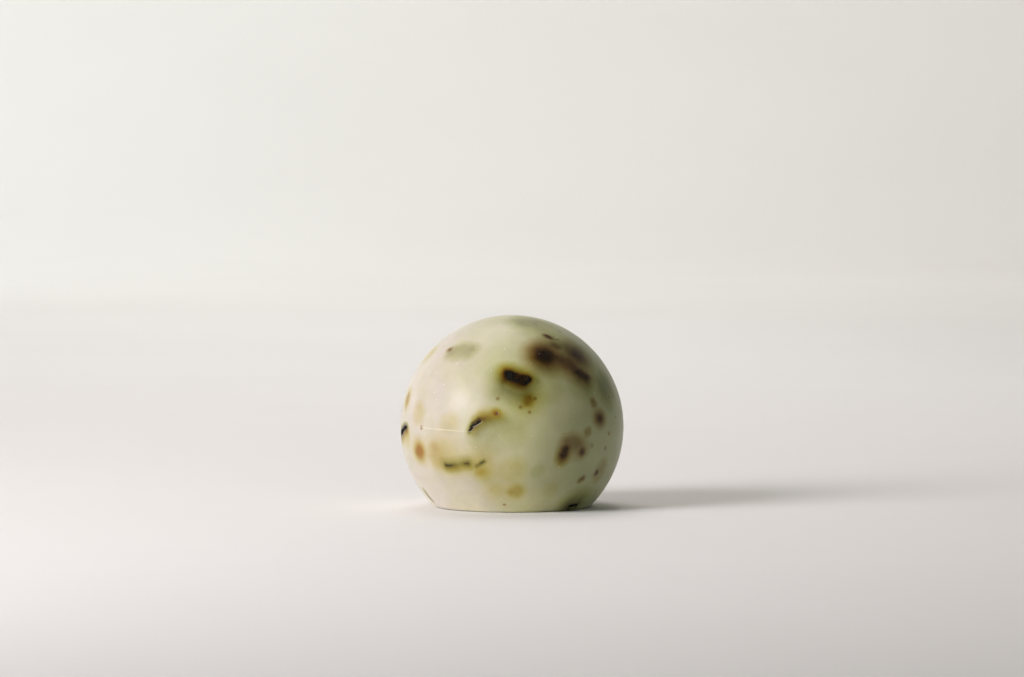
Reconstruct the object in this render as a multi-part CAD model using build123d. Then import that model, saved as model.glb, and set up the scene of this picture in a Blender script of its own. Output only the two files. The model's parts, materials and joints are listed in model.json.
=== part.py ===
"""A moulded ball of translucent soap with dried herbs cast into it, cut flat underneath to stand.

The soap is one casting. Every leaf, stem, petal, bud, seed and crumb is a piece of its own, and the
soap has a pocket of exactly that piece's shape. Nothing moves: the soap holds every piece on all sides,
apart from the few that reach its skin.

Frame: +Z up, the origin at the centre of the flat foot, the front of the ball towards -Y.
Lengths are in millimetres and angles in degrees.
"""

import os
from math import cos, radians, sin

from build123d import *

# Driving dimensions of the casting
BALL_RADIUS = 30.0
FOOT_DROP = 21.5
FOOT_EDGE_RADIUS = 0.7
BALL_CENTRE = Vector(0, 0, FOOT_DROP)
FOOT_RADIUS = (BALL_RADIUS**2 - FOOT_DROP**2) ** 0.5

# The thin ridge that the two halves of the ball mould leave, tilted because the foot is cut by hand
SEAM_TILT = 2.3
SEAM_TUBE_RADIUS = 0.30
SEAM_PROUD = 0.08

# Thicknesses of the dried plant pieces
LEAF_THICKNESS = 0.45
PETAL_THICKNESS = 0.60
STEM_DIAMETER = 0.65
CHIP_THICKNESS = 0.50

# Unit outlines of broken plant pieces, each one unit long and one unit wide
BROKEN_LEAF = [
    (-0.50, 0.38),
    (-0.44, 0.50),
    (-0.27, 0.48),
    (-0.12, 0.32),
    (0.06, 0.20),
    (0.42, 0.12),
    (0.50, -0.06),
    (0.42, -0.24),
    (0.21, -0.50),
    (-0.06, -0.36),
    (-0.28, -0.12),
    (-0.43, -0.06),
]
TORN_LEAF = [
    (-0.50, -0.12),
    (-0.30, 0.30),
    (-0.04, 0.50),
    (0.20, 0.32),
    (0.50, 0.18),
    (0.34, -0.10),
    (0.42, -0.38),
    (0.10, -0.30),
    (-0.16, -0.50),
    (-0.28, -0.24),
]
SHRED = [
    (-0.50, -0.05),
    (-0.38, 0.42),
    (-0.10, 0.28),
    (0.14, 0.50),
    (0.50, 0.30),
    (0.40, -0.20),
    (0.12, -0.14),
    (-0.12, -0.50),
    (-0.36, -0.36),
]
PETAL = [
    (-0.50, 0.02),
    (-0.22, 0.42),
    (0.24, 0.50),
    (0.50, 0.10),
    (0.30, -0.40),
    (-0.16, -0.50),
]
CHIP = [
    (-0.50, -0.20),
    (-0.20, 0.50),
    (0.30, 0.40),
    (0.50, -0.10),
    (0.10, -0.50),
]

# The edges of curled leaves as they meet the skin, in millimetres: thick at one end, thin at the other
CURLED_EDGE = [
    (-4.0, -1.8),
    (-3.3, -0.1),
    (-1.4, 0.7),
    (1.2, 0.7),
    (3.8, 1.0),
    (3.9, 0.7),
    (1.3, 0.3),
    (-0.9, 0.0),
    (-2.3, -0.7),
]
SIDE_EDGE = [
    (-3.6, -1.7),
    (-3.3, -0.6),
    (-0.8, 0.4),
    (1.6, 1.1),
    (3.5, 1.1),
    (3.1, 0.6),
    (1.7, 0.3),
    (-0.4, -0.6),
    (-2.1, -1.5),
]
BACK_EDGE = [
    (-4.0, 0.7),
    (-1.7, 0.1),
    (0.7, 0.7),
    (3.7, 1.6),
    (3.3, 1.0),
    (0.9, -0.1),
    (-1.5, -0.7),
    (-3.3, 0.1),
]


def outward(longitude, latitude):
    """The direction from the ball's centre: longitude 0 is the front, and grows to the right."""
    east = radians(longitude)
    north = radians(latitude)
    return Vector(sin(east) * cos(north), -cos(east) * cos(north), sin(north))


def under_skin(longitude, latitude, depth):
    """The point that lies this deep under the ball's skin."""
    return BALL_CENTRE + outward(longitude, latitude) * (BALL_RADIUS - depth)


def seat(longitude, latitude, depth, roll, tilt, yaw):
    """A place under the skin, with +X to the right, +Y up and +Z out through the skin.

    Roll turns a piece about +Z. Tilt then lifts its upper edge towards the skin, and yaw its left end.
    """
    plane = Plane(
        origin=under_skin(longitude, latitude, depth),
        x_dir=Vector(cos(radians(longitude)), sin(radians(longitude)), 0),
        z_dir=outward(longitude, latitude),
    )
    return plane.location * Rot(0, 0, roll) * Rot(tilt, 0, 0) * Rot(0, yaw, 0)


def curled(face, length, thickness, curl):
    """A sheet of the face's outline, curled to this radius about its length."""
    sheet = Cylinder(curl + thickness / 2, 3 * length) - Cylinder(curl - thickness / 2, 3 * length)
    return extrude(face, amount=curl, both=True) & (Pos(0, 0, -curl) * Rot(0, 90, 0) * sheet)


def leaf(outline, length, width, curl=9.0, thickness=LEAF_THICKNESS):
    """A broken flake of dry leaf with straight torn edges."""
    corners = [(length * x, width * y) for x, y in outline]
    return curled(make_face(Polyline(*corners, close=True)), length, thickness, curl)


def petal(length, width, curl=6.0, thickness=PETAL_THICKNESS):
    """A flower petal with a smooth round outline."""
    points = [(length * x, width * y) for x, y in PETAL]
    return curled(make_face(Spline(*points, periodic=True)), length, thickness, curl)


def leaf_on_edge(edge, breadth, slant):
    """A leaf that meets the skin with this edge, and slopes down into the soap from there."""
    face = make_face(Polyline(*edge, close=True))
    return extrude(face, amount=breadth, dir=(0, -sin(radians(slant)), -cos(radians(slant))))


def bud(length, width):
    """A round or long bud: an ellipse turned about its length, which lies along +X."""
    half = Ellipse(length / 2, width / 2) & (Pos(0, width / 2) * Rectangle(2 * length, width))
    return revolve(half, Axis.X)


def chip(length, width, thickness=CHIP_THICKNESS):
    """A small broken bit with bevelled faces above and below."""
    corners = [(length * x, width * y) for x, y in CHIP]
    face = make_face(Polyline(*corners, close=True))
    upper = extrude(face, amount=thickness / 2, taper=20)
    lower = extrude(face, amount=-thickness / 2, taper=20)
    return upper + lower


def stem(route, diameter=STEM_DIAMETER):
    """A dry twig. Its route is a list of longitude, latitude and depth, with rounded bends."""
    points = [under_skin(*place) for place in route]
    line = Polyline(*points) if len(points) == 2 else FilletPolyline(*points, radius=diameter)
    section = Plane(origin=line @ 0, z_dir=line % 0) * Circle(diameter / 2)
    return sweep(section, path=line)


def casting():
    """The ball cut flat underneath, with its foot edge rounded and the mould's seam round it."""
    ball = Pos(*BALL_CENTRE) * Sphere(BALL_RADIUS)
    above_foot = Pos(0, 0, 2 * BALL_RADIUS) * Box(*[4 * BALL_RADIUS] * 3)
    cut = ball & above_foot
    cut = fillet(cut.edges().filter_by(GeomType.CIRCLE).sort_by(Axis.Z)[0], FOOT_EDGE_RADIUS)
    ring = Torus(BALL_RADIUS + SEAM_PROUD - SEAM_TUBE_RADIUS, SEAM_TUBE_RADIUS)
    return cut + Pos(*BALL_CENTRE) * Rot(0, SEAM_TILT, 0) * ring


pieces = {}


def cast(name, shape, longitude, latitude, depth, roll=0, tilt=0, yaw=0):
    """Sets one plant piece into the ball."""
    pieces[name] = seat(longitude, latitude, depth, roll, tilt, yaw) * shape


def cast_stem(name, route, diameter=STEM_DIAMETER):
    """Sets one twig into the ball along its route."""
    pieces[name] = stem(route, diameter)


def cast_crumbs(name, places):
    """Sets a scatter of crumbs, as one group. A place is longitude, latitude and size."""
    crumbs = [seat(east, north, 0.35 * size, 37 * i, 12, 0) * chip(size, 0.8 * size, 0.6 * size)
              for i, (east, north, size) in enumerate(places)]
    pieces[name] = Compound(children=crumbs)


# Dark leaf flakes on the side that faces forward
cast("front_leaf", leaf(BROKEN_LEAF, 6.9, 4.3, curl=14), 3.5, 29.2, 0.35, tilt=3)
cast("curled_leaf", leaf_on_edge(CURLED_EDGE, 2.6, 38), -14, 6.5, 0.35, yaw=14)
cast("left_side_leaf", leaf_on_edge(SIDE_EDGE, 2.2, 30), -76, -0.5, 0.1)
cast("foot_leaf", leaf(TORN_LEAF, 5.0, 3.0, curl=7), 46, -42, 0.35, roll=8, tilt=-8)
cast("right_shoulder_leaf", leaf(SHRED, 4.6, 6.4, curl=7), 64, 22, 1.7, roll=8)
cast("upper_left_leaf", leaf(TORN_LEAF, 6.6, 3.2, curl=10), -40, 45, 1.6, roll=10, tilt=6)
cast("crown_leaf", leaf(SHRED, 6.0, 4.4, curl=9), 31, 73, 1.7, roll=20)
cast("veiled_leaf", leaf(TORN_LEAF, 3.4, 2.8, curl=5), 22, 22, 2.1, roll=40)
cast("low_front_leaf", leaf(SHRED, 2.4, 2.2, curl=4), 14, -19.5, 1.1, roll=25)

# Twigs and slivers
cast_stem("front_stem", [(-38, -17, 0.35), (-34, -17, 0.45), (-28, -16, 0.9), (-23.5, -15.5, 0.35)], 0.5)
cast_stem("front_stem_tip", [(-19.5, -17, 0.5), (-17, -15.5, 0.35), (-14.5, -14, 0.25)], 0.35)
cast_stem("left_foot_stem", [(-70, -33, 0.5), (-69.5, -37, 0.25), (-68, -40, 0.4)], 0.4)
cast_stem("right_foot_sliver", [(41.5, -26, 0.6), (42.5, -25, 0.45), (44, -24.4, 0.5)], 0.6)

# Amber and tan petals
cast("front_petal", petal(2.2, 1.5, curl=2), 8.5, 17, 0.7, roll=60)
cast("curl_petal", petal(3.8, 1.8, curl=3), -14.5, 10, 1.0, roll=12)
cast("left_side_petal", petal(4.2, 3.0, curl=5), -71, -5, 0.9, roll=-20)
cast("stem_petal", petal(2.0, 1.4, curl=3), -17.8, -19.2, 0.6, roll=25)
cast("left_cheek_petal", petal(2.7, 2.1, curl=4), -56.8, -10.6, 0.6, roll=15)
cast("tan_petal", petal(5.0, 3.6, curl=6), -43, -12, 1.5, roll=100)
cast("left_upper_petal", petal(3.2, 2.4, curl=5), -57, 9, 1.6, roll=80)
cast("left_edge_petal", petal(2.6, 1.5, curl=3), -75, 15, 0.6, roll=95)
cast("upper_edge_petal", petal(4.0, 2.6, curl=5), -78, 41, 1.0, roll=15)
cast("foot_petal", petal(2.7, 2.0, curl=4), 2, -31, 0.8, roll=10)
cast("low_front_petal", petal(5.2, 3.6, curl=7), -1, -19, 2.0, roll=20)
cast("low_right_petal", petal(3.4, 2.6, curl=4), 23, -31, 1.3, roll=75)
cast("left_middle_petal", petal(3.2, 2.6, curl=5), -34, 5, 1.7, roll=30)

# Brown buds, their loose scales and bits of husk
cast("upper_bud", bud(5.0, 4.6), 23.2, 42.5, 2.6, roll=-20)
cast("upper_bud_scale", chip(2.2, 1.2, 0.7), 35.2, 48.6, 0.6, roll=-25)
cast("right_bud", bud(5.0, 4.4), 50, 41.8, 2.8, roll=80)
cast("right_bud_scale", leaf(TORN_LEAF, 4.2, 2.0, curl=3), 45.6, 30.2, 0.55, roll=-32)
cast("bud_link_husk", petal(4.2, 1.9, curl=3), 37.8, 36.6, 1.1, roll=-38)
cast("right_husk", leaf(SHRED, 3.0, 1.6, curl=3), 28.2, -9.6, 0.4, roll=66)
cast("right_husk_tip", leaf(TORN_LEAF, 1.7, 1.4, curl=3), 38.8, -10, 0.5, roll=80)
cast("husk_bridge", petal(4.2, 1.5, curl=3), 33, -4.8, 1.0, roll=-14)
cast("right_upper_husk", leaf(SHRED, 1.8, 1.3, curl=3), 48.5, 14.5, 0.6, roll=100)
cast("right_seed", bud(2.6, 2.2), 51.5, 6.5, 1.35)
cast("right_husk_chip", chip(2.0, 1.4, 0.7), 42, 0, 0.6, roll=50)
cast("lower_right_seed", bud(1.3, 1.0), 54, -22, 0.58, roll=70)
cast("lower_right_husk", leaf(SHRED, 3.6, 2.8, curl=4), 57.5, -21.5, 1.7, roll=70)

# Seeds that show as single points
cast("slit_seed", bud(2.0, 0.8), 35, 56, 0.48, roll=-48)
cast("ring_seed", bud(1.7, 1.3), -8, 10.4, 0.72, roll=-25)
cast("upper_left_seed", bud(1.3, 1.0), -52, 45.5, 0.58, roll=20)

# Fine crumbs, each a longitude, a latitude and a size
front_crumbs = [
    (4.5, 13.5, 0.8),
    (12.5, 18, 0.6),
    (-7.5, 18, 0.6),
    (58, 60, 0.9),
    (42, 53.5, 0.7),
    (59.5, -1.5, 0.8),
    (-53.5, 1.8, 0.7),
    (57, -9, 0.8),
    (45, -7, 1.3),
    (9, 11, 0.5),
    (-5, -40, 0.5),
]
cast_crumbs("front_crumbs", front_crumbs)

# The side that faces away
cast("back_leaf", leaf(BROKEN_LEAF, 8.6, 6.4, curl=9), 186, 24, 0.4, roll=24, tilt=9)
cast("back_low_leaf", leaf(TORN_LEAF, 6.4, 4.6, curl=7), 150, -14, 0.9, roll=-30)
cast("back_crown_leaf", leaf(SHRED, 6.0, 5.0, curl=8), 232, 60, 1.7, roll=50)
cast("back_curled_leaf", leaf_on_edge(BACK_EDGE, 2.4, 34), 214, -8, 0.1)
back_route = [(160, 8, 0.4), (166, 6, 0.6), (173, 7.5, 0.9), (179, 5, 0.35)]
cast_stem("back_stem", back_route)
cast_stem("back_short_stem", [(112, 34, 0.4), (116, 30, 0.5), (118, 25, 0.35)], 0.55)
cast("back_bud", bud(4.8, 4.0), 142, 38, 2.4, roll=15)
cast("back_low_bud", bud(4.0, 3.4), 206, -28, 2.1, roll=-40)
cast("back_petal", petal(4.6, 3.4, curl=5), 170, -24, 0.9, roll=35)
cast("back_side_petal", petal(4.2, 3.0, curl=5), 252, 12, 0.9, roll=-50)
cast("right_side_petal", petal(4.0, 3.2, curl=5), 98, 4, 1.0, roll=15)
cast("back_husk", leaf(SHRED, 4.2, 2.6, curl=4), 122, -6, 0.6, roll=70)
back_crumbs = [
    (95, 28, 0.9),
    (104, -20, 0.8),
    (131, 12, 0.7),
    (155, 52, 0.8),
    (178, 38, 0.6),
    (190, -4, 0.7),
    (222, 22, 0.9),
    (228, -34, 0.8),
    (246, 40, 0.7),
    (262, -12, 0.8),
]
cast_crumbs("back_crumbs", back_crumbs)

# One leaf that the flat cut reaches underneath, and one deep in the middle of the ball
foot_face = Pos(6.5, 4.5, 0.8) * Rot(0, 0, 35) * Rot(14, 0, 0)
pieces["underside_leaf"] = foot_face * leaf(BROKEN_LEAF, 8.0, 6.0, curl=12)
pieces["core_leaf"] = Pos(-3, 4, FOOT_DROP + 4) * Rot(35, 20, 10) * leaf(TORN_LEAF, 9, 7, curl=8)

# Each piece ends flush with the soap's skin, and the soap gives way to every piece
blank = casting()
pieces = {name: piece & blank for name, piece in pieces.items()}
soap = blank - list(pieces.values())

os.makedirs("parts", exist_ok=True)
for name, piece in {"soap_body": soap, **pieces}.items():
    export_step(piece, f"parts/{name}.step")
    print(f"{name}: {len(piece.solids())} solids, {piece.volume:.2f} mm3")
print(f"{len(pieces) + 1} nodes, foot radius {FOOT_RADIUS:.2f} mm, height {blank.bounding_box().size.Z:.2f} mm")
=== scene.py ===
"""A pale green soap ball with dried herbs cast into it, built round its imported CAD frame.

Every herb is remeshed from its own CAD solid and given wrinkles, fibres or ragged edges. The soap is one
dense closed skin with its mould seam, foot, pits and dents. It stores how far each point of the skin is from
the herbs below, and its material turns those depths into the stains and shadows of translucent soap.
"""

import json
import math

import bmesh
import bpy
import numpy as np
from mathutils import Matrix, Vector, noise
from mathutils.bvhtree import BVHTree


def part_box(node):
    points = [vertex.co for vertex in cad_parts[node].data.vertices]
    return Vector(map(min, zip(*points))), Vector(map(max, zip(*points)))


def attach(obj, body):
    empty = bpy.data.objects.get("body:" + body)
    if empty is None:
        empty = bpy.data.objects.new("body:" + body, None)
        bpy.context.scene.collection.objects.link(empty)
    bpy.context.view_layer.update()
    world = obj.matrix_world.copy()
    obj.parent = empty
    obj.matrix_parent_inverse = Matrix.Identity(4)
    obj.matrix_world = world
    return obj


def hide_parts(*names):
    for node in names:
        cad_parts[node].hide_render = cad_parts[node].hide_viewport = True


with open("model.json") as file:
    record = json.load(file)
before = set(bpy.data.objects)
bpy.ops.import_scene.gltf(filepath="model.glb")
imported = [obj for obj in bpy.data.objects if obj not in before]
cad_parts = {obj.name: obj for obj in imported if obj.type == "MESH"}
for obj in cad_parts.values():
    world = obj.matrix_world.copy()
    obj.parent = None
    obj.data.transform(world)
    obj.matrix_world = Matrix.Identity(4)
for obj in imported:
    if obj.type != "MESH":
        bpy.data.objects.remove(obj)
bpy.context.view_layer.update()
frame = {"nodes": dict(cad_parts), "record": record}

MM = 0.001
UP = Vector((0, 0, 1))

# The ball, measured from the frame
SEAM_PROUD = 0.08 * MM
SEAM_TILT = math.radians(2.3)
soap_low, soap_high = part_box("soap_body")
BALL_R = (soap_high.y - soap_low.y) / 2 - SEAM_PROUD
CENTRE = Vector((0, 0, soap_high.z - BALL_R))
FOOT_DROP = CENTRE.z - soap_low.z

# The skin's mesh: squares along a cube face's edge, and how the rows crowd together at the seam
GRID = 116
SEAM_CROWDING = 4.0
SEAM_BAND = math.radians(1.0)
FAR = 8.0

HERB_KINDS = {
    "dried_leaf": {"voxel": 0.14, "wander": 0.16, "wrinkle": 0.10, "grain": 1.1},
    "dried_stem": {"voxel": 0.11, "wander": 0.07, "wrinkle": 0.05, "grain": 1.8},
    "amber_petal": {"voxel": 0.15, "wander": 0.14, "wrinkle": 0.07, "grain": 0.9},
    "brown_husk": {"voxel": 0.15, "wander": 0.18, "wrinkle": 0.09, "grain": 1.0},
    "dark_seed": {"voxel": 0.09, "wander": 0.05, "wrinkle": 0.04, "grain": 2.2},
}

# Blender seeds its vector noise from the clock, so without this the outlines would change each run
OUTLINE_SEED = 1794916675

# Which stain a herb gives: leaves shade olive, husks and seeds brown, petals amber
STAIN_OF = {
    "dried_leaf": "leaf_gap",
    "dried_stem": "leaf_gap",
    "brown_husk": "husk_gap",
    "dark_seed": "husk_gap",
    "amber_petal": "petal_gap",
}

STAINS = ("leaf_gap", "husk_gap", "petal_gap", "dye_gap")

# How each herb shows through the skin: the soap over it, in millimetres, and how wide its halo is.
# A few give another stain than their kind does.
KIND_LOOKS = {
    "dried_leaf": (0.1, 0.6),
    "dried_stem": (0.2, 0.35),
    "amber_petal": (0.4, 1.0),
    "brown_husk": (0.2, 0.8),
    "dark_seed": (0.3, 0.5),
}
LOOKS = {
    "front_leaf": (0.0, 0.36),
    "curled_leaf": (0.15, 0.24),
    "left_side_leaf": (0.10, 0.35),
    "foot_leaf": (0.80, 0.65),
    "right_shoulder_leaf": (0.65, 1.10),
    "upper_left_leaf": (1.2, 0.95),
    "crown_leaf": (1.00, 1.30),
    "veiled_leaf": (1.80, 1.20),
    "low_front_leaf": (2.6, 0.80),
    "front_stem": (0.25, 0.25),
    "front_stem_tip": (0.85, 0.24),
    "left_foot_stem": (1.0, 0.35),
    "right_foot_sliver": (0.80, 0.35, "husk_gap"),
    "front_petal": (-0.15, 0.42),
    "curl_petal": (1.30, 0.80),
    "left_side_petal": (1.60, 0.80),
    "stem_petal": (1.50, 0.60),
    "left_cheek_petal": (0.05, 1.00),
    "tan_petal": (0.50, 1.00),
    "left_upper_petal": (1.00, 1.00),
    "left_edge_petal": (0.40, 0.80),
    "upper_edge_petal": (1.40, 1.00),
    "foot_petal": (0.70, 0.80),
    "low_front_petal": (1.0, 1.20),
    "low_right_petal": (1.60, 0.80),
    "left_middle_petal": (1.00, 1.00),
    "upper_bud": (-0.35, 1.25),
    "upper_bud_scale": (-0.05, 0.50),
    "right_bud": (0.05, 1.25),
    "right_bud_scale": (0.0, 0.70),
    "bud_link_husk": (0.30, 1.10),
    "right_husk": (0.25, 0.60),
    "right_husk_tip": (0.35, 0.45),
    "husk_bridge": (0.80, 0.85),
    "right_upper_husk": (0.80, 0.40),
    "right_seed": (0.1, 0.65),
    "right_husk_chip": (0.45, 0.35),
    "lower_right_seed": (0.20, 0.30),
    "lower_right_husk": (0.95, 0.90),
    "slit_seed": (0.10, 0.35),
    "ring_seed": (0.20, 0.40, "dye_gap"),
    "upper_left_seed": (1.10, 0.35),
    "front_crumbs": (0.65, 0.17),
    "back_crumbs": (0.45, 0.25),
}

# Dye and shadow beside a herb: its stain, how far right and up in millimetres, then its look as above
HALOS = [
    ("front_leaf", "dye_gap", -0.5, 0.3, 0.3, 0.75),
    ("front_leaf", "husk_gap", -0.5, -0.6, 1.8, 0.6),
    ("front_leaf", "leaf_gap", -0.9, -2.9, 1.3, 1.9),
    ("front_leaf", "leaf_gap", 1.8, -0.5, 1.7, 1.2),
    ("curled_leaf", "dye_gap", 0.8, 0.6, 0.9, 0.6),
    ("front_petal", "dye_gap", 0.4, 0.2, 2.1, 2.2),
    ("curled_leaf", "leaf_gap", 1.9, -0.7, 1.9, 1.3),
    ("curled_leaf", "leaf_gap", 5.0, -2.5, 3.0, 3.0),
    ("front_stem", "leaf_gap", 0.0, 0.2, 1.9, 0.9),
    ("front_stem", "dye_gap", 0.6, -0.9, 2.0, 0.8),
    ("front_stem", "petal_gap", 3.0, 0.8, 1.7, 2.4),
    ("stem_petal", "dye_gap", 1.0, -0.6, 1.9, 1.2),
    ("stem_petal", "petal_gap", 1.8, 2.8, 2.0, 2.4),
    ("foot_petal", "petal_gap", -5.0, 0.2, 2.0, 2.5),
    ("upper_bud", "dye_gap", -0.9, 0.2, 1.0, 0.8),
    ("upper_bud", "leaf_gap", -0.6, -3.6, 2.0, 1.8),
    ("upper_bud_scale", "leaf_gap", 1.0, 0.6, 1.9, 2.6),
    ("bud_link_husk", "husk_gap", -0.4, 0.9, 0.7, 1.6),
    ("right_bud", "leaf_gap", 1.2, 0.6, 2.2, 2.0),
    ("crown_leaf", "leaf_gap", 1.5, -2.4, 2.3, 2.6),
    ("right_bud_scale", "husk_gap", -0.8, 0.2, 1.0, 1.3),
    ("right_husk", "husk_gap", -0.2, -0.8, 1.6, 0.9),
    ("right_husk", "dye_gap", -0.4, -1.4, 1.6, 0.8),
    ("right_bud_scale", "leaf_gap", -0.8, -2.6, 2.4, 2.3),
    ("husk_bridge", "husk_gap", 0.8, -1.4, 1.6, 1.5),
    ("left_side_leaf", "dye_gap", 0.5, -0.9, 0.8, 0.6),
    ("tan_petal", "petal_gap", 2.6, 0.6, 1.7, 2.6),
    ("foot_leaf", "leaf_gap", -0.2, 1.6, 1.4, 1.4),
    ("back_leaf", "dye_gap", 0.5, 0.4, 0.0, 1.0),
    ("back_leaf", "leaf_gap", -0.4, -2.6, 1.1, 1.6),
    ("back_bud", "dye_gap", 0.6, -0.5, 1.0, 0.8),
    ("back_bud", "husk_gap", -0.8, 0.6, 0.9, 1.5),
    ("back_low_bud", "leaf_gap", 0.6, 0.8, 1.5, 1.5),
    ("back_curled_leaf", "dye_gap", 0.1, -0.6, 0.7, 0.7),
    ("back_curled_leaf", "leaf_gap", -0.5, 1.0, 1.7, 1.3),
]
STAIN_BLEND = 0.45

# Herbs that the skin leaves open in places, and how much of them: 0 covered, 1 all bare
BARE = {
    "front_leaf": 0.60,
    "curled_leaf": 0.4,
    "left_side_leaf": 0.55,
    "foot_leaf": 0.35,
    "front_stem": 0.5,
    "front_stem_tip": 0.1,
    "left_foot_stem": 0.15,
    "right_husk": 0.3,
    "back_leaf": 0.7,
    "back_curled_leaf": 0.6,
    "back_stem": 0.5,
    "back_short_stem": 0.4,
    "underside_leaf": 0.9,
}

# Marks in the skin: herb, offset right and up, length, width, roll in degrees, depth and raised rim
MARKS = [
    ("slit_seed", 0.0, 0.1, 1.9, 0.62, -48, 0.34, 0.05),
    ("upper_left_seed", 0.1, -0.1, 1.0, 0.8, 10, 0.16, 0.05),
    ("ring_seed", 0.0, 0.0, 1.5, 1.2, -25, 0.14, 0.06),
    ("right_shoulder_leaf", 0.0, -2.6, 1.5, 1.1, 20, 0.18, 0.07),
    ("low_right_petal", 0.0, 1.0, 0.7, 0.6, 0, 0.12, 0.04),
    ("curled_leaf", -2.4, 0.2, 3.2, 0.8, 20, 0.08, 0.02),
    ("front_leaf", 2.1, 0.2, 0.9, 0.7, 30, 0.12, 0.06),
    ("front_stem", -1.9, -0.3, 2.4, 0.6, 5, 0.09, 0.02),
    ("front_stem", 2.8, 0.2, 1.3, 1.0, 30, 0.10, 0.04),
    ("front_stem_tip", 0.3, 0.2, 1.8, 0.5, 30, 0.10, 0.03),
    ("foot_leaf", 0.0, 0.0, 3.2, 1.2, 14, 0.12, 0.03),
    ("lower_right_seed", 0.0, 0.0, 0.9, 0.8, 0, 0.14, 0.05),
    ("right_husk", -0.3, -0.9, 0.8, 0.6, 60, 0.10, 0.04),
    ("left_foot_stem", 0.0, 0.0, 3.0, 0.6, 95, 0.10, 0.03),
    ("crown_leaf", 1.0, -3.0, 0.9, 0.7, 30, 0.12, 0.04),
    ("back_curled_leaf", 0.5, 0.0, 3.2, 0.8, 10, 0.14, 0.03),
    ("back_stem", 2.0, 0.0, 2.4, 0.6, -20, 0.10, 0.03),
    ("back_bud", -1.0, 1.5, 1.4, 0.8, 40, 0.18, 0.05),
    ("back_low_leaf", 0.5, 0.5, 1.0, 0.7, -30, 0.12, 0.04),
]


def smooth_step(low, high, value):
    """0 below low, 1 above high, and an even curve between, for numbers or arrays."""
    share = np.clip((value - low) / (high - low), 0, 1)
    return share * share * (3 - 2 * share)


def linked(name, mesh, material):
    """A new object of this mesh, smooth all over."""
    piece = bpy.data.objects.new(name, mesh)
    bpy.context.scene.collection.objects.link(piece)
    mesh.materials.clear()
    mesh.materials.append(material)
    mesh.shade_smooth()
    return piece


def hand_in(piece, node):
    """The piece stands for its CAD node, which is hidden, and rides with the root body."""
    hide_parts(node)
    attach(piece, "root")


def local_frame(point):
    """Directions out, right and up at a point, as seen from outside the ball."""
    out = (point - CENTRE).normalized()
    right = UP.cross(out).normalized() if abs(out.z) < 0.999 else Vector((1, 0, 0))
    return out, right, out.cross(right)


def middle_of(node):
    low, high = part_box(node)
    return (low + high) / 2


# Materials


class Shader:
    """A material's node tree, with short calls that add a node and link what feeds it."""

    def __init__(self, name, **principled):
        self.material = bpy.data.materials.new(name)
        self.material.use_nodes = True
        self.tree = self.material.node_tree
        self.surface = self.tree.nodes["Principled BSDF"]
        for socket, value in principled.items():
            self.surface.inputs[socket.replace("_", " ")].default_value = value
        coordinates = self.tree.nodes.new("ShaderNodeTexCoord").outputs["Object"]
        self.place = self.scaled(coordinates, 1 / MM)
        sides = self.add("ShaderNodeSeparateXYZ", {0: self.place})
        self.across, self.height = sides.outputs["X"], sides.outputs["Z"]

    def add(self, kind, inputs, **settings):
        node = self.tree.nodes.new(kind)
        for name, value in settings.items():
            setattr(node, name, value)
        for key, value in inputs.items():
            if isinstance(value, bpy.types.NodeSocket):
                self.tree.links.new(value, node.inputs[key])
            else:
                node.inputs[key].default_value = value
        return node

    def noise(self, scale, detail=2.0, roughness=0.5, distortion=0.0):
        """Noise with about this many features to the millimetre."""
        inputs = {"Vector": self.place, "Scale": scale, "Detail": detail, "Roughness": roughness}
        return self.add("ShaderNodeTexNoise", {**inputs, "Distortion": distortion}).outputs["Fac"]

    def cells(self, scale, feature="F1", output="Distance", stretch=None):
        place = self.place
        if stretch:
            place = self.add("ShaderNodeVectorMath", {0: place, 1: stretch}, operation="MULTIPLY").outputs[0]
        inputs = {"Vector": place, "Scale": scale}
        return self.add("ShaderNodeTexVoronoi", inputs, feature=feature).outputs[output]

    def math(self, operation, a, b=0.0, c=0.0):
        return self.add("ShaderNodeMath", {0: a, 1: b, 2: c}, operation=operation).outputs[0]

    def range(self, value, low, high, to_low=0.0, to_high=1.0):
        inputs = {"Value": value, "From Min": low, "From Max": high, "To Min": to_low, "To Max": to_high}
        return self.add("ShaderNodeMapRange", inputs).outputs["Result"]

    def ramp(self, value, stops, span=1.0):
        """Colours at distances from 0 to span."""
        node = self.add("ShaderNodeValToRGB", {"Fac": self.math("DIVIDE", value, span)})
        elements = node.color_ramp.elements
        while len(elements) < len(stops):
            elements.new(0.5)
        for element, (at, colour) in zip(elements, stops):
            element.position = at / span
            element.color = (*colour, 1)
        return node.outputs["Color"]

    def mix(self, share, a, b, blend="MIX"):
        node = self.add("ShaderNodeMix", {}, data_type="RGBA", blend_type=blend)
        for key, value in ((0, share), (6, a), (7, b)):
            if isinstance(value, bpy.types.NodeSocket):
                self.tree.links.new(value, node.inputs[key])
            else:
                node.inputs[key].default_value = value if key == 0 else (*value, 1)
        return node.outputs[2]

    def scaled(self, colour, share):
        return self.add("ShaderNodeVectorMath", {0: colour, 3: share}, operation="SCALE").outputs[0]

    def attribute(self, name):
        return self.add("ShaderNodeAttribute", {}, attribute_name=name).outputs["Fac"]

    def bump(self, height, strength, distance=0.1 * MM):
        inputs = {"Height": height, "Strength": strength, "Distance": distance}
        return self.add("ShaderNodeBump", inputs).outputs["Normal"]

    def finish(self, colour, roughness, normal):
        for socket, value in (("Base Color", colour), ("Roughness", roughness), ("Normal", normal)):
            self.tree.links.new(value, self.surface.inputs[socket])
        return self.material


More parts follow.
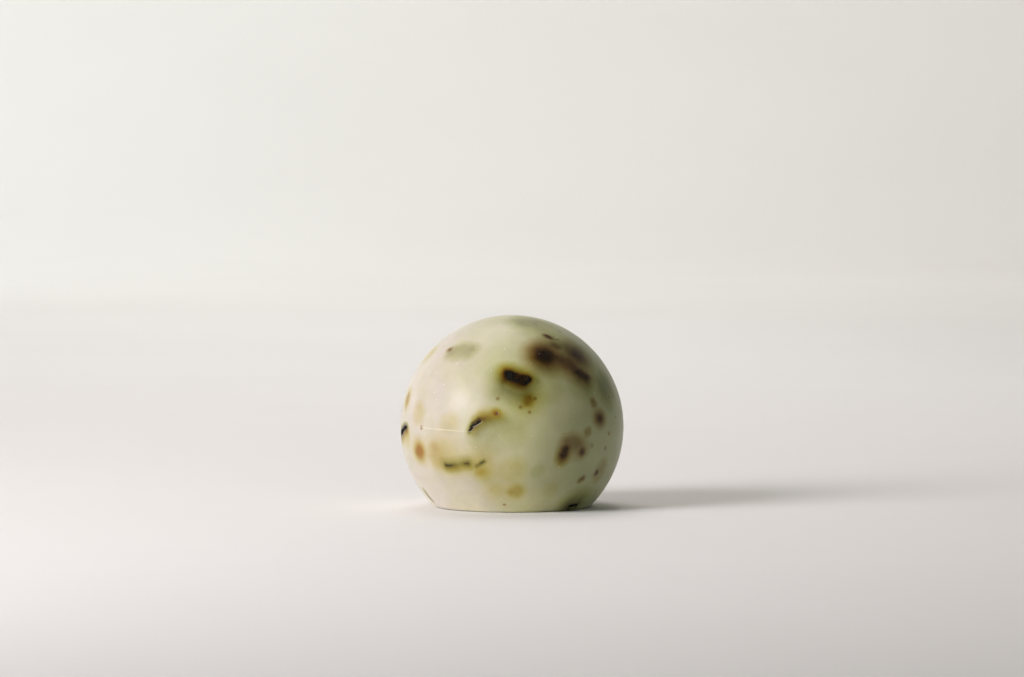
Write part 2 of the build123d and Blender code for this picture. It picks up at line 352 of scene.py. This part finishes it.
def leaf_material():
    s = Shader("dried_leaf", Specular_IOR_Level=0.06)
    veins = s.cells(0.55, feature="DISTANCE_TO_EDGE")
    colour = s.ramp(s.noise(0.9, 5, 0.6), [(0.3, (0.004, 0.005, 0.004)), (0.75, (0.012, 0.011, 0.008))])
    colour = s.mix(s.range(veins, 0.07, 0.0, 0.0, 0.5), colour, (0.016, 0.013, 0.008))
    roughness = s.range(s.noise(2.5, 3), 0.3, 0.7, 0.60, 0.80)
    height = s.math("ADD", s.range(veins, 0.15, 0.0), s.noise(3.0, 4))
    return s.finish(colour, roughness, s.bump(height, 0.6))


def stem_material():
    s = Shader("dried_stem", Specular_IOR_Level=0.18)
    fibres = s.cells(2.2, stretch=(1.0, 1.0, 3.0))
    stops = [(0.1, (0.022, 0.018, 0.012)), (0.8, (0.12, 0.095, 0.05))]
    colour = s.ramp(s.math("MULTIPLY", fibres, 1.4), stops)
    colour = s.mix(s.noise(0.8, 4, 0.6), colour, (0.035, 0.036, 0.026))
    roughness = s.range(fibres, 0.0, 0.8, 0.50, 0.80)
    return s.finish(colour, roughness, s.bump(fibres, 0.7))


def petal_material():
    s = Shader("amber_petal", Specular_IOR_Level=0.4)
    streaks = s.cells(1.2, stretch=(0.4, 0.4, 2.2))
    colour = s.ramp(s.noise(0.8, 4, 0.55), [(0.25, (0.20, 0.075, 0.018)), (0.75, (0.62, 0.32, 0.09))])
    colour = s.mix(s.range(streaks, 0.3, 0.0), colour, (0.30, 0.12, 0.03))
    roughness = s.range(s.noise(2.0, 3), 0.3, 0.7, 0.38, 0.62)
    return s.finish(colour, roughness, s.bump(streaks, 0.5))


def husk_material():
    s = Shader("brown_husk", Specular_IOR_Level=0.35)
    scales = s.cells(0.9, feature="DISTANCE_TO_EDGE")
    colour = s.ramp(s.noise(1.0, 5, 0.6), [(0.3, (0.020, 0.009, 0.006)), (0.75, (0.16, 0.062, 0.024))])
    colour = s.mix(s.range(scales, 0.08, 0.0), colour, (0.012, 0.007, 0.005))
    roughness = s.range(s.noise(2.4, 3), 0.3, 0.7, 0.45, 0.75)
    return s.finish(colour, roughness, s.bump(scales, 0.8))


def seed_material():
    s = Shader("dark_seed", Specular_IOR_Level=0.5)
    pores = s.cells(3.0)
    colour = s.ramp(s.noise(1.6, 4, 0.6), [(0.3, (0.016, 0.010, 0.007)), (0.75, (0.13, 0.065, 0.028))])
    colour = s.mix(s.range(pores, 0.25, 0.0), colour, (0.010, 0.007, 0.005))
    roughness = s.range(pores, 0.0, 0.6, 0.60, 0.36)
    return s.finish(colour, roughness, s.bump(pores, 0.5))


# What is left of the light that comes back from a herb, by its distance under the skin in millimetres
LEAF_SHADE = [
    (0.00, (0.018, 0.017, 0.014)),
    (0.30, (0.048, 0.042, 0.028)),
    (0.60, (0.16, 0.14, 0.085)),
    (1.00, (0.30, 0.28, 0.18)),
    (1.60, (0.44, 0.44, 0.29)),
    (2.30, (0.60, 0.61, 0.43)),
    (3.20, (0.80, 0.81, 0.65)),
    (4.60, (1.0, 1.0, 1.0)),
]
HUSK_SHADE = [
    (0.00, (0.038, 0.019, 0.013)),
    (0.40, (0.090, 0.044, 0.030)),
    (0.80, (0.26, 0.145, 0.090)),
    (1.20, (0.42, 0.28, 0.18)),
    (1.80, (0.58, 0.46, 0.34)),
    (2.60, (0.79, 0.70, 0.57)),
    (4.00, (1.0, 1.0, 1.0)),
]
PETAL_SHADE = [
    (0.00, (0.45, 0.19, 0.035)),
    (0.50, (0.57, 0.34, 0.09)),
    (1.00, (0.68, 0.53, 0.21)),
    (1.70, (0.83, 0.75, 0.43)),
    (2.60, (0.94, 0.91, 0.74)),
    (3.80, (1.0, 1.0, 1.0)),
]
DYE_SHADE = [
    (0.00, (0.50, 0.22, 0.04)),
    (0.50, (0.60, 0.33, 0.07)),
    (1.10, (0.69, 0.49, 0.13)),
    (1.60, (0.74, 0.61, 0.21)),
    (2.20, (0.80, 0.73, 0.36)),
    (2.90, (0.88, 0.85, 0.58)),
    (3.60, (0.95, 0.94, 0.79)),
    (4.60, (1.0, 1.0, 1.0)),
]


def soap_material():
    s = Shader(
        "soap",
        Subsurface_Weight=0.55,
        Subsurface_Radius=(1.0, 0.9, 0.55),
        Subsurface_Scale=1.6 * MM,
        IOR=1.46,
        Specular_IOR_Level=0.23,
        Sheen_Weight=0.12,
        Sheen_Roughness=0.35,
    )
    fine = s.noise(1.3, 3, 0.55)
    broad = s.noise(0.32, 2)
    wander = s.math("ADD", s.range(fine, 0, 1, -0.13, 0.13), s.range(broad, 0, 1, -0.28, 0.28))
    colour = s.ramp(s.noise(0.16, 4, 0.6), [(0.35, (0.532, 0.478, 0.420)), (0.65, (0.508, 0.468, 0.362))])
    # From warm and pale at the left to darker green at the right, which is painted shade, and palest at the
    # foot
    side = s.math("MULTIPLY_ADD", s.noise(0.05, 2), 24, s.across)
    colour = s.mix(s.range(side, -6, 14), colour, (0.515, 0.500, 0.290))
    colour = s.mix(s.range(side, 17, 34), colour, (0.325, 0.345, 0.185))
    cloud = s.range(s.noise(0.13, 3, 0.6, 0.6), 0.3, 0.7, 0.94, 1.05)
    # The paleness at the foot is painted light, for the glow through the soap's edge
    edge_light = s.range(s.height, 0.5, 9.0, 1.28, 1.0)
    colour = s.scaled(colour, s.math("MULTIPLY", cloud, edge_light))
    shades = {"leaf_gap": LEAF_SHADE, "husk_gap": HUSK_SHADE, "petal_gap": PETAL_SHADE, "dye_gap": DYE_SHADE}
    for name, stops in shades.items():
        gap = s.attribute(name)
        reach = s.range(gap, 0.0, 1.2, 0.25, 1.0)
        ragged = s.math("MULTIPLY_ADD", wander, reach, gap)
        colour = s.mix(1.0, colour, s.ramp(ragged, stops, span=stops[-1][0]), blend="MULTIPLY")
    fleck_size = s.range(s.noise(0.4, 1), 0.35, 0.70, 0.02, 0.10)
    fleck = s.range(s.math("SUBTRACT", s.cells(0.36), fleck_size), 0.0, -0.03)
    colour = s.mix(s.math("MULTIPLY", fleck, 0.45), colour, (0.84, 0.81, 0.66))
    # The seam's line is paler: thin soap, and a painted highlight where it catches the key light
    colour = s.mix(s.math("MULTIPLY", s.attribute("seam_line"), 0.45), colour, (0.82, 0.79, 0.63))
    roughness = s.range(s.noise(0.5, 4, 0.6), 0.3, 0.7, 0.27, 0.39)
    ripple = s.math("ADD", s.noise(0.22, 3, 0.5), s.math("MULTIPLY", s.noise(3.5, 3), 0.05))
    height = s.math("ADD", ripple, s.math("MULTIPLY", fleck, 0.25))
    return s.finish(colour, roughness, s.bump(height, 0.35, distance=0.25 * MM))


def backdrop_material():
    s = Shader("pale_backdrop", Specular_IOR_Level=0.15)
    colour = s.ramp(s.noise(0.004, 3), [(0.3, (0.80, 0.785, 0.765)), (0.7, (0.82, 0.805, 0.785))])
    roughness = s.range(s.noise(0.02, 2), 0.3, 0.7, 0.75, 0.85)
    return s.finish(colour, roughness, s.bump(s.noise(0.4, 3), 0.05))


# The herbs


def remeshed(node, voxel):
    """An even closed mesh of the CAD node's solid."""
    mesh = frame["nodes"][node].data.copy()
    mesh.materials.clear()
    holder = bpy.data.objects.new("remesh", mesh)
    bpy.context.scene.collection.objects.link(holder)
    modifier = holder.modifiers.new("voxels", "REMESH")
    modifier.mode = "VOXEL"
    modifier.voxel_size = voxel * MM
    even = bpy.data.meshes.new_from_object(holder.evaluated_get(bpy.context.evaluated_depsgraph_get()))
    bpy.data.objects.remove(holder)
    return even


def roughened(mesh, kind, seed, bare):
    """Moves the outline about and wrinkles the faces. The skin covers the herb except where it is bare."""
    shift = Vector((seed * 7.3, seed * 3.1, seed * 5.7))
    grain = kind["grain"]
    moved = []
    for vertex in mesh.vertices:
        at = vertex.co / MM
        step = noise.noise_vector(at * grain + shift) * kind["wander"]
        crease = noise.fractal(at * grain * 2.2 + shift, 1.0, 2.0, 3) * kind["wrinkle"]
        point = vertex.co + (step + vertex.normal * crease) * MM
        open_here = float(smooth_step(0.1, -0.1, noise.noise(at * 0.7 + shift) + 0.5 - bare))
        limit = BALL_R + (0.17 * open_here - 0.15) * MM
        out = point - CENTRE
        reach = out.length
        lift = 0.08 * MM * open_here * float(smooth_step(BALL_R - 0.35 * MM, BALL_R - 0.05 * MM, reach))
        point = CENTRE + out * (min(reach + lift, limit) / reach)
        point.z = max(point.z, soap_low.z)
        moved.append(point)
    mesh.vertices.foreach_set("co", np.array(moved, np.float32).ravel())
    mesh.update()
    return mesh


def make_herbs():
    """One detailed piece for each herb node, and the tree that finds the nearest point on it."""
    noise.seed_set(OUTLINE_SEED)
    makers = {
        "dried_leaf": leaf_material,
        "dried_stem": stem_material,
        "amber_petal": petal_material,
        "brown_husk": husk_material,
        "dark_seed": seed_material,
    }
    materials = {slot: make() for slot, make in makers.items()}
    herbs = {}
    for number, part in enumerate(frame["record"]["subparts"]):
        node, slot = part["node"], part["material_slot"]
        if node == "soap_body":
            continue
        kind = HERB_KINDS[slot]
        mesh = remeshed(node, kind["voxel"])
        roughened(mesh, kind, number, BARE.get(node, 0.0))
        hand_in(linked(f"{node}_dried", mesh, materials[slot]), node)
        points = [vertex.co.copy() for vertex in mesh.vertices]
        herbs[node] = (slot, points, BVHTree.FromPolygons(points, [p.vertices[:] for p in mesh.polygons]))
    return herbs


# The soap


def crowded_rows(count):
    """Angles from -45 to 45 degrees, closest together at 0, where the seam runs."""
    fine = np.linspace(-math.pi / 4, math.pi / 4, 4001)
    share = np.cumsum(1 + SEAM_CROWDING * np.exp(-((fine / SEAM_BAND) ** 2)))
    share = (share - share[0]) / (share[-1] - share[0])
    return np.interp(np.linspace(0, 1, count + 1), share, fine)


def cube_grid(count):
    """The surface of a cube as points and squares, its middle rows crowded at the seam."""
    even = np.tan(np.linspace(-math.pi / 4, math.pi / 4, count + 1))
    rows = np.tan(crowded_rows(count))
    across, up = np.meshgrid(even, rows, indexing="ij")
    front = np.stack([across, -np.ones_like(across), up], -1)
    across, along = np.meshgrid(even, even, indexing="ij")
    top = np.stack([across, along, np.ones_like(across)], -1)
    faces = [top, top * (1, -1, -1)]
    for turn in range(4):
        faces.append(front @ np.array(Matrix.Rotation(turn * math.pi / 2, 3, "Z")).T)
    points = np.concatenate([face.reshape(-1, 3) for face in faces])
    corner = np.arange(count)[:, None] * (count + 1) + np.arange(count)[None, :]
    square = np.stack([corner, corner + count + 1, corner + count + 2, corner + 1], -1).reshape(-1, 4)
    squares = np.concatenate([square + i * (count + 1) ** 2 for i in range(6)])
    _, first, place = np.unique(points.round(7), axis=0, return_index=True, return_inverse=True)
    return points[first], place.reshape(-1)[squares]


def mark_places():
    """Where each mark is on the skin: its own directions out, along and across, then its shape."""
    for node, right, up, length, width, roll, depth, rim in MARKS:
        out, east, north = local_frame(middle_of(node))
        out, east, north = local_frame(CENTRE + out * BALL_R + (east * right + north * up) * MM)
        turn = math.radians(roll)
        along = east * math.cos(turn) + north * math.sin(turn)
        yield out, along, out.cross(along), length, width, depth, rim


def skin_mesh():
    """A sphere of directions, its grid split finer round each mark."""
    points, squares = cube_grid(GRID)
    points /= np.linalg.norm(points, axis=1)[:, None]
    points = points @ np.array(Matrix.Rotation(SEAM_TILT, 3, "Y")).T
    mesh = bpy.data.meshes.new("soap_skin")
    mesh.from_pydata(points.tolist(), [], squares.tolist())
    bm = bmesh.new()
    bm.from_mesh(mesh)
    near = set()
    marks = list(mark_places())
    for face in bm.faces:
        at = face.calc_center_median().normalized()
        for out, _, _, length, _, _, _ in marks:
            if (at - out).length * BALL_R < (0.5 * length + 0.6) * MM:
                near.update(face.edges)
                break
    bmesh.ops.subdivide_edges(bm, edges=list(near), cuts=2, use_grid_fill=True)
    bm.to_mesh(mesh)
    bm.free()
    return mesh


def directions_of(mesh):
    """The mesh's points as unit directions."""
    flat = np.zeros(len(mesh.vertices) * 3)
    mesh.vertices.foreach_get("co", flat)
    points = flat.reshape(-1, 3)
    return points / np.linalg.norm(points, axis=1)[:, None]


def field(directions, scale, seed):
    """Smooth noise from -1 to 1 over the ball."""
    shift = Vector((seed, seed * 2.7, seed * 1.9))
    return np.array([noise.noise(Vector(d) * scale + shift) for d in directions])


def marks_depth(directions):
    """How far each mark sinks the skin, in millimetres, with its rim above."""
    depth_here = np.zeros(len(directions))
    for out, along, across, length, width, depth, rim in mark_places():
        close = np.where(directions @ np.array(out) > math.cos(3 * MM / BALL_R))[0]
        local = (directions[close] - np.array(out)) * BALL_R / MM
        reach = np.hypot(local @ np.array(along) / (length / 2), local @ np.array(across) / (width / 2))
        bowl = depth * np.clip(1 - reach**2, 0, None) ** 1.5
        lip = rim * np.exp(-(((reach - 1.25) / 0.28) ** 2))
        depth_here[close] += bowl - lip
    return depth_here


def seam_height(directions):
    """The seam ridge above the skin and the step below it, in millimetres, and its line's pale soap and
    painted highlight.
    """
    normal = np.array(Matrix.Rotation(SEAM_TILT, 3, "Y") @ UP)
    above = np.arcsin(np.clip(directions @ normal, -1, 1)) * BALL_R / MM
    longitude = np.degrees(np.arctan2(directions[:, 0], -directions[:, 1]))
    clear = np.exp(-(((longitude + 40) / 14) ** 2))
    patchy = smooth_step(-0.15, 0.45, field(directions, 5.0, 11.0))
    height = 0.012 + 0.020 * patchy + 0.045 * clear
    line = np.exp(-((above / 0.13) ** 2))
    step = 0.025 * (1 - smooth_step(-0.2, 0.2, above))
    return height * line - step, line * (0.15 * patchy + 0.85 * clear)


def skin_points(directions, herb_gap):
    """The skin's points: a ball with soft waves, its marks and seam, cut flat at the foot."""
    waves = 0.05 * (0.5 + 0.5 * field(directions, 3.2, 4.0))
    grain = 0.012 * (0.5 + 0.5 * field(directions, 26.0, 7.0))
    shrink = 0.07 * (1 - smooth_step(0.05, 0.45, herb_gap))
    ridge, seam_line = seam_height(directions)
    ball = BALL_R / MM - waves - grain - shrink - np.clip(marks_depth(directions), -0.03, None) + ridge
    longitude = np.arctan2(directions[:, 0], -directions[:, 1])
    knife = 0.020 * (0.5 + 0.5 * np.sin(directions[:, 0] / -np.minimum(directions[:, 2], -0.05) * 60))
    foot = (FOOT_DROP / MM - knife) / np.clip(-directions[:, 2], 0.05, None)
    worn = 0.9 - 0.5 * np.cos(longitude - math.radians(40))
    close = np.clip(worn - np.abs(ball - foot), 0, None) / worn
    radius = np.minimum(ball, foot) - close**2 * worn / 4
    return np.array(CENTRE) + directions * radius[:, None] * MM, seam_line


def add_stain(total, points, herb, shift, soap_over, spread):
    """Adds what a herb absorbs at each point, as if it were moved by shift and lay under more soap."""
    _, herb_points, tree = herb
    middle = sum(herb_points, Vector()) / len(herb_points) + shift
    size = max((point + shift - middle).length for point in herb_points)
    near = np.linalg.norm(points - np.array(middle), axis=1) < size + spread * 5 * MM
    for i in np.where(near)[0]:
        distance = tree.find_nearest(Vector(points[i]) - shift)[3] / MM
        total[i] += math.exp(-(soap_over + distance / spread) / STAIN_BLEND)


def herb_gaps(points, herbs):
    """For each kind of stain, how much soap there seems to be over each point, in millimetres."""
    sums = {name: np.full(len(points), math.exp(-FAR / STAIN_BLEND)) for name in STAINS}
    for node, herb in herbs.items():
        soap_over, spread, *stain = LOOKS.get(node, KIND_LOOKS[herb[0]])
        total = sums[stain[0] if stain else STAIN_OF[herb[0]]]
        add_stain(total, points, herb, Vector(), soap_over, spread)
    for node, stain, right, up, soap_over, spread in HALOS:
        _, east, north = local_frame(middle_of(node))
        add_stain(sums[stain], points, herbs[node], (east * right + north * up) * MM, soap_over, spread)
    return {name: np.maximum(-STAIN_BLEND * np.log(total), 0) for name, total in sums.items()}


def bare_gap(points, herbs):
    """How far each point is from the nearest herb that the skin leaves bare, in millimetres."""
    total = np.full(len(points), math.exp(-FAR / STAIN_BLEND))
    for node in BARE:
        add_stain(total, points, herbs[node], Vector(), 0.0, 1.0)
    return np.maximum(-STAIN_BLEND * np.log(total), 0)


def make_soap(herbs):
    """The soap's skin, with its depths to the herbs stored for the material."""
    mesh = skin_mesh()
    directions = directions_of(mesh)
    plain, _ = skin_points(directions, np.full(len(directions), FAR))
    gaps = herb_gaps(plain, herbs)
    points, seam_line = skin_points(directions, bare_gap(plain, herbs))
    mesh.vertices.foreach_set("co", points.astype(np.float32).ravel())
    for name, values in {**gaps, "seam_line": seam_line}.items():
        mesh.attributes.new(name, "FLOAT", "POINT").data.foreach_set("value", values.astype(np.float32))
    mesh.update()
    hand_in(linked("soap_skin", mesh, soap_material()), "soap_body")


# The studio

# Lights: place, where each points, spread in degrees, width in metres, power and colour
LIGHTS = [
    ("key", (-0.685, -0.46, 0.375), (0.05, 0.1, 0), 110, 0.50, 3.4, (1.0, 0.97, 1.0)),
    ("top", (-0.20, 0.55, 1.30), (-0.1, 0.35, 0), 120, 1.00, 3.3, (1.0, 0.92, 0.88)),
    ("floor_near", (-0.10, 0.85, 0.70), (-0.10, 0.50, 0), 56, 0.80, 0.3, (0.9, 0.95, 1.0)),
    ("floor_middle", (-0.10, 1.15, 0.90), (-0.10, 0.95, 0), 80, 0.90, 0.4, (1.0, 0.95, 0.95)),
    ("floor_far", (-0.10, 1.55, 1.00), (-0.10, 1.50, 0), 95, 0.90, 0.3, (1.0, 0.95, 0.95)),
    ("wall", (-1.25, 1.25, 1.25), (-0.3, 2.7, 0.3), 150, 0.80, 13.0, (0.85, 0.95, 1.0)),
    ("side_wall", (-1.10, -0.20, 1.20), (-2.70, -0.20, 0.50), 150, 0.80, 6.0, (1.0, 0.97, 0.93)),
    ("wall_middle", (-0.20, 1.20, 1.60), (0, 2.8, 0.7), 150, 0.80, 10.0, (1.0, 0.9, 0.8)),
]
SURROUND = (0.95, 1.0, 0.92)
SURROUND_STRENGTH = 0.14


def make_backdrop():
    """A round pale floor that curves up into a wall far away."""
    flat, bend, height, steps, turns = 1.6, 1.3, 2.4, 20, 96
    profile = [(0.0, 0.0), (0.15, 0.0), (0.45, 0.0), (1.0, 0.0), (flat, 0.0)]
    for i in range(1, steps + 1):
        angle = i / steps * math.pi / 2
        profile.append((flat + bend * math.sin(angle), bend * (1 - math.cos(angle))))
    profile.append((flat + bend, height))
    bm = bmesh.new()
    line = [bm.verts.new((radius, 0, z)) for radius, z in profile]
    edges = [bm.edges.new(pair) for pair in zip(line, line[1:])]
    spin = {"cent": (0, 0, 0), "axis": (0, 0, 1), "angle": math.tau, "steps": turns}
    bmesh.ops.spin(bm, geom=line + edges, use_merge=True, **spin)
    bmesh.ops.remove_doubles(bm, verts=bm.verts, dist=1e-5)
    mesh = bpy.data.meshes.new("backdrop")
    bm.to_mesh(mesh)
    bm.free()
    linked("backdrop", mesh, backdrop_material())


def aimed(name, data, place, target):
    """A light or camera at a place, looking at a target."""
    thing = bpy.data.objects.new(name, data)
    bpy.context.scene.collection.objects.link(thing)
    thing.location = place
    thing.rotation_euler = (Vector(target) - Vector(place)).to_track_quat("-Z", "Y").to_euler()
    return thing


def make_studio():
    """Soft lights and a pale surrounding."""
    make_backdrop()
    for name, place, target, spread, size, power, colour in LIGHTS:
        data = bpy.data.lights.new(name, "AREA")
        data.shape = "DISK"
        data.spread = math.radians(spread)
        data.size = size
        data.energy = power
        data.color = colour
        aimed(name, data, place, target).visible_camera = False
    world = bpy.data.worlds.new("studio")
    bpy.context.scene.world = world
    world.use_nodes = True
    world.node_tree.nodes["Background"].inputs["Color"].default_value = (*SURROUND, 1)
    world.node_tree.nodes["Background"].inputs["Strength"].default_value = SURROUND_STRENGTH
    bpy.context.scene.view_settings.view_transform = "Standard"


def make_camera():
    """A long lens just above the table, looking a little over the ball."""
    data = bpy.data.cameras.new("camera")
    data.lens, data.sensor_width = 200, 36
    rise, distance, pitch = math.radians(3.9), 1.528, math.radians(3.014)
    place = CENTRE + Vector((0, -math.cos(rise), math.sin(rise))) * distance
    target = place + Vector((0, math.cos(pitch), -math.sin(pitch)))
    bpy.context.scene.camera = aimed("camera", data, place, target)


make_camera()
make_studio()
make_soap(make_herbs())
